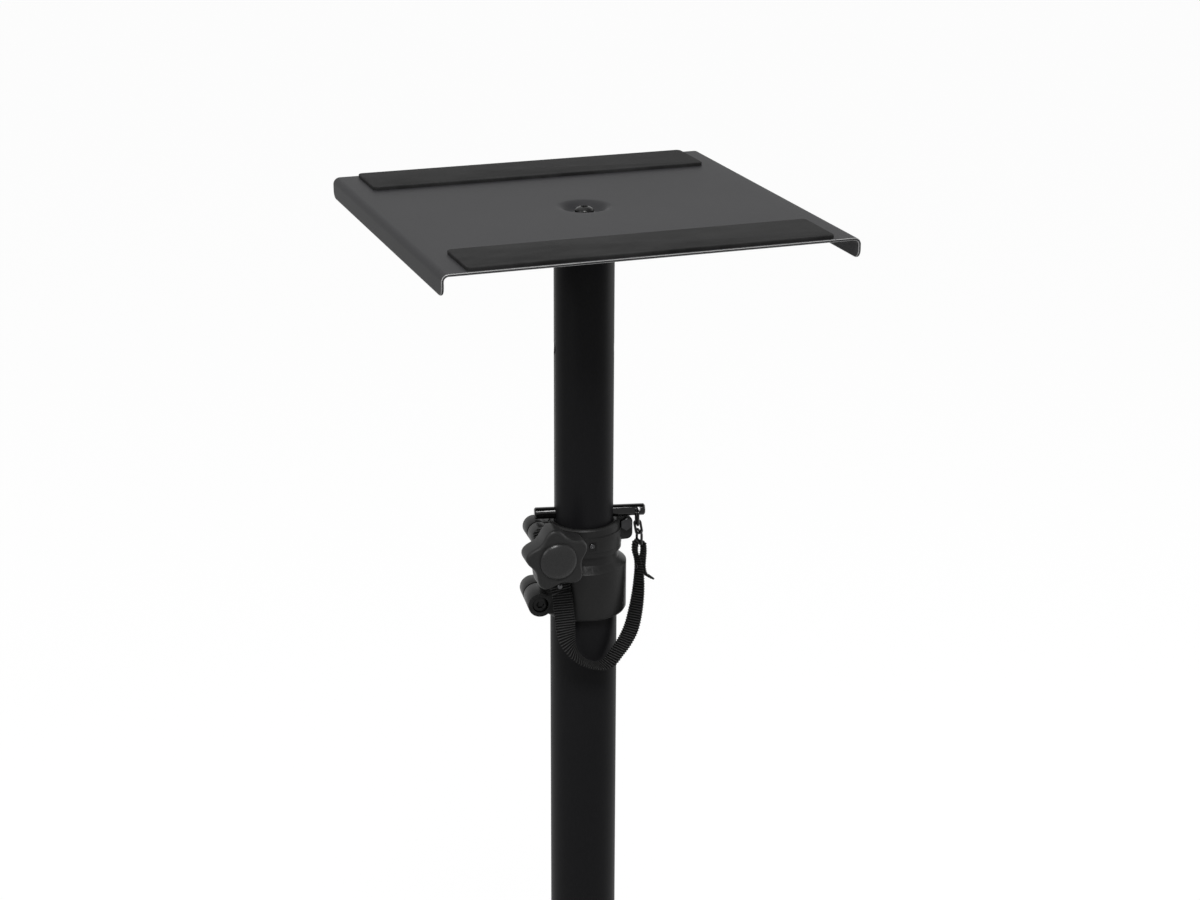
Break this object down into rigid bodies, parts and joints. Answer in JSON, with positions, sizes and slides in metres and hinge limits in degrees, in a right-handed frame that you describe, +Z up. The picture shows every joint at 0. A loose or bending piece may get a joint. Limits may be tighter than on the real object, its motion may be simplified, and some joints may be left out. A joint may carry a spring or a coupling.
{
  "type": "studio monitor stand",
  "caption": "Height-adjustable studio monitor stand: flat speaker plate on a telescopic column with a clamp collar, star knob and tethered securing pin, on a levelling leg base.",
  "frame": {"origin": "centre of the base's footprint on the floor, between the levelling feet", "axes": "+Z up along the column; the front, with the star knob, faces -Y; +X to the viewer's right"},
  "size_m": [0.4828, 0.4186, 0.9573],
  "materials": {
    "powder_coat": "fine textured black powder coat",
    "moulded_plastic": "satin moulded black nylon",
    "rubber": "matte black",
    "black_steel": "glossy black",
    "zinc_steel": "bright zinc",
    "webbing": "woven black polyester"
  },
  "bodies": {
    "base": {"hub_plate": "powder_coat", "column_socket": "powder_coat", "leg_rear": "powder_coat", "leg_left": "powder_coat", "leg_right": "powder_coat", "leg_end_caps": "moulded_plastic", "leg_bolts": "zinc_steel", "leg_weld_nuts": "zinc_steel", "foot_weld_nuts": "zinc_steel", "base_bolt": "zinc_steel", "base_washer": "zinc_steel", "column_plug": "zinc_steel", "outer_tube": "powder_coat", "guide_sleeve": "moulded_plastic", "collar_sleeve": "moulded_plastic", "clamp_band_front": "moulded_plastic", "clamp_band_rear": "moulded_plastic", "band_bolt": "zinc_steel", "band_nut": "zinc_steel", "band_set_screw": "zinc_steel", "sleeve_clamp_screw": "zinc_steel", "sleeve_clamp_nut": "zinc_steel", "knob_nut": "zinc_steel", "tether_strap": "webbing", "strap_rivet_left": "zinc_steel"},
    "clamp_washer": {"knob_washer": "zinc_steel"},
    "clamp_knob": {"star_knob": "moulded_plastic", "knob_stud": "zinc_steel"},
    "pole": {"inner_tube": "powder_coat", "inner_tube_bush": "moulded_plastic", "tube_top_plug": "zinc_steel", "top_plate": "powder_coat", "rubber_strip_front": "rubber", "rubber_strip_rear": "rubber", "plate_bolt": "zinc_steel", "plate_washer": "zinc_steel"},
    "pin": {"securing_pin": "black_steel", "chain_link_upper": "black_steel", "chain_link_middle": "black_steel", "chain_link_lower": "black_steel", "strap_rivet_right": "zinc_steel"},
    "pad_rear": {"foot_pad_rear": "rubber"},
    "spindle_rear": {"foot_spindle_rear": "zinc_steel"},
    "pad_left": {"foot_pad_left": "rubber"},
    "spindle_left": {"foot_spindle_left": "zinc_steel"},
    "pad_right": {"foot_pad_right": "rubber"},
    "spindle_right": {"foot_spindle_right": "zinc_steel"}
  },
  "joints": [
    {"name": "pole_slide", "type": "slide", "parent": "base", "child": "pole", "axis": [0, 0, 1], "range_m": [-0.102, 0.51]},
    {"name": "pin_pull", "type": "slide", "parent": "base", "child": "pin", "axis": [0.9744, -0.225, 0], "range_m": [0, 0.06], "deforming": ["tether_strap"]},
    {"name": "knob_shift", "type": "slide", "parent": "base", "child": "clamp_washer", "axis": [-0.0698, -0.9976, 0], "range_m": [0, 0.001]},
    {"name": "knob_turn", "type": "hinge", "parent": "clamp_washer", "child": "clamp_knob", "pos_m": [-0.02763, -0.05349, 0.7593], "axis": [-0.0698, -0.9976, 0], "range_deg": [0, 360]},
    {"name": "foot_drop_rear", "type": "slide", "parent": "base", "child": "pad_rear", "axis": [0, 0, -1], "range_m": [0, 0.012]},
    {"name": "foot_turn_rear", "type": "hinge", "parent": "pad_rear", "child": "spindle_rear", "pos_m": [0, 0.18058, 0.011], "axis": [0, 0, -1], "range_deg": [0, 3456]},
    {"name": "foot_drop_left", "type": "slide", "parent": "base", "child": "pad_left", "axis": [0, 0, -1], "range_m": [0, 0.012]},
    {"name": "foot_turn_left", "type": "hinge", "parent": "pad_left", "child": "spindle_left", "pos_m": [-0.20438, -0.17342, 0.011], "axis": [0, 0, -1], "range_deg": [0, 3456]},
    {"name": "foot_drop_right", "type": "slide", "parent": "base", "child": "pad_right", "axis": [0, 0, -1], "range_m": [0, 0.012]},
    {"name": "foot_turn_right", "type": "hinge", "parent": "pad_right", "child": "spindle_right", "pos_m": [0.20438, -0.17342, 0.011], "axis": [0, 0, -1], "range_deg": [0, 3456]}
  ],
  "couplings": [
    {"joint": "knob_turn", "follows": "knob_shift", "rad_per_m": 6283.2},
    {"joint": "foot_turn_rear", "follows": "foot_drop_rear", "rad_per_m": 5026.5},
    {"joint": "foot_turn_left", "follows": "foot_drop_left", "rad_per_m": 5026.5},
    {"joint": "foot_turn_right", "follows": "foot_drop_right", "rad_per_m": 5026.5}
  ]
}
